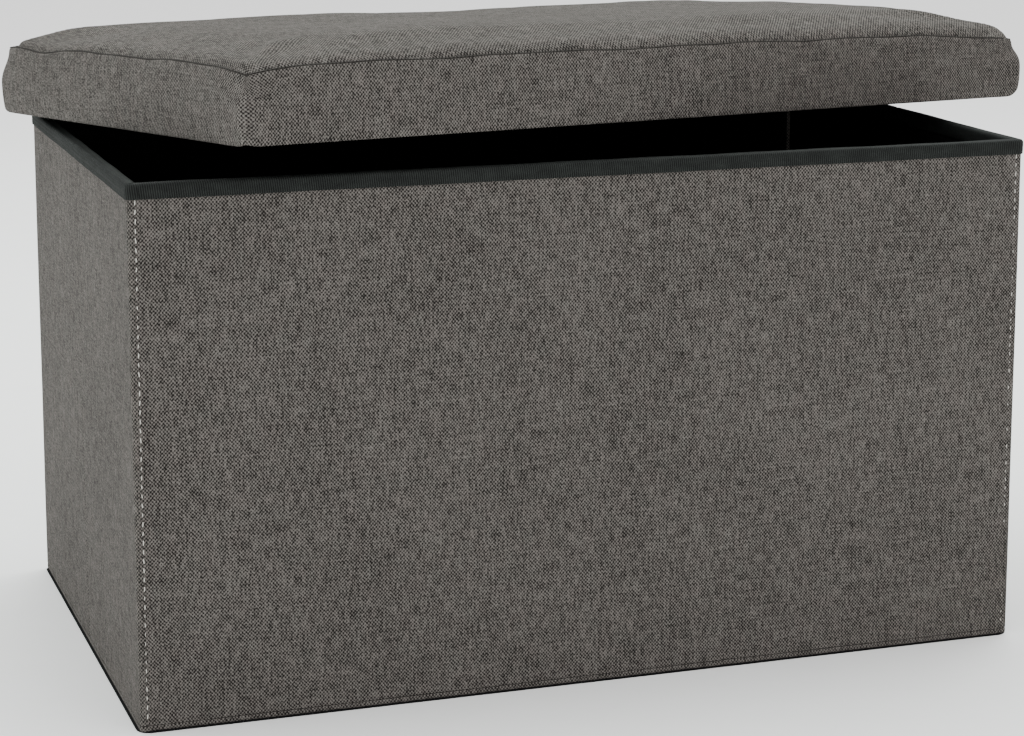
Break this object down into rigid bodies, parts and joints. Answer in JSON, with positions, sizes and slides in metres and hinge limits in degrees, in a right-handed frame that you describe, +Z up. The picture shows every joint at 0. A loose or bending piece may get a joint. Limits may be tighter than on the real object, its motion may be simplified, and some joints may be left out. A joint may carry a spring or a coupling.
{
  "type": "folding storage bench",
  "caption": "Fabric-covered storage box with a loose padded lid; its short sides fold inwards so the box collapses flat.",
  "frame": {"origin": "middle of the base's underside, on the floor", "axes": "+Z up, +X along the bench's length to the right seen from the front, the front faces -Y"},
  "size_m": [0.7272, 0.5454, 0.4522],
  "materials": {
    "woven_cover": "matte",
    "lining_cloth": "matte",
    "binding_tape": "matte",
    "fibreboard": "matte",
    "cushion_foam": "matte"
  },
  "bodies": {
    "box_base": {"base_underside_cloth": "lining_cloth", "base_board": "fibreboard", "base_floor_cloth": "lining_cloth", "front_wall_cover": "woven_cover", "front_wall_board": "fibreboard", "front_wall_lining": "lining_cloth", "front_wall_binding": "binding_tape"},
    "left_front_leaf": {"left_front_leaf_cover": "woven_cover", "left_front_leaf_board": "fibreboard", "left_front_leaf_lining": "lining_cloth", "left_front_leaf_binding": "binding_tape"},
    "left_rear_leaf": {"left_rear_leaf_cover": "woven_cover", "left_rear_leaf_board": "fibreboard", "left_rear_leaf_lining": "lining_cloth", "left_rear_leaf_binding": "binding_tape"},
    "rear_wall": {"rear_wall_cover": "woven_cover", "rear_wall_board": "fibreboard", "rear_wall_lining": "lining_cloth", "rear_wall_binding": "binding_tape"},
    "right_front_leaf": {"right_front_leaf_cover": "woven_cover", "right_front_leaf_board": "fibreboard", "right_front_leaf_lining": "lining_cloth", "right_front_leaf_binding": "binding_tape"},
    "right_rear_leaf": {"right_rear_leaf_cover": "woven_cover", "right_rear_leaf_board": "fibreboard", "right_rear_leaf_lining": "lining_cloth", "right_rear_leaf_binding": "binding_tape"},
    "lid": {"lid_front_border": "woven_cover", "lid_front_skirt_board": "fibreboard", "lid_front_hem_facing": "lining_cloth", "lid_rear_border": "woven_cover", "lid_rear_skirt_board": "fibreboard", "lid_rear_hem_facing": "lining_cloth", "lid_left_border": "woven_cover", "lid_left_skirt_board": "fibreboard", "lid_left_hem_facing": "lining_cloth", "lid_right_border": "woven_cover", "lid_right_skirt_board": "fibreboard", "lid_right_hem_facing": "lining_cloth", "lid_underside_lining": "lining_cloth", "lid_board": "fibreboard", "lid_foam": "cushion_foam", "lid_top_cover": "woven_cover"}
  },
  "joints": [
    {"name": "left_front_fold", "type": "hinge", "parent": "box_base", "child": "left_front_leaf", "pos_m": [-0.3113, -0.1863, 0], "axis": [0, 0, -1], "range_deg": [0, 90]},
    {"name": "left_crease_fold", "type": "hinge", "parent": "left_front_leaf", "child": "left_rear_leaf", "pos_m": [-0.3205, 0, 0], "axis": [0, 0, -1], "range_deg": [-180, 0]},
    {"name": "left_rear_fold", "type": "hinge", "parent": "left_rear_leaf", "child": "rear_wall", "pos_m": [-0.3113, 0.1863, 0], "axis": [0, 0, -1], "range_deg": [0, 90]},
    {"name": "right_front_fold", "type": "hinge", "parent": "box_base", "child": "right_front_leaf", "pos_m": [0.3113, -0.1863, 0], "axis": [0, 0, 1], "range_deg": [0, 90]},
    {"name": "right_crease_fold", "type": "hinge", "parent": "right_front_leaf", "child": "right_rear_leaf", "pos_m": [0.3205, 0, 0], "axis": [0, 0, 1], "range_deg": [-180, 0]},
    {"name": "lid_lift", "type": "slide", "parent": "box_base", "child": "lid", "axis": [0, 0, 1], "range_m": [0, 0.3]}
  ],
  "couplings": [
    {"joint": "left_crease_fold", "follows": "left_front_fold", "ratio": -2},
    {"joint": "left_rear_fold", "follows": "left_front_fold", "ratio": 1},
    {"joint": "right_front_fold", "follows": "left_front_fold", "ratio": 1},
    {"joint": "right_crease_fold", "follows": "left_front_fold", "ratio": -2}
  ]
}
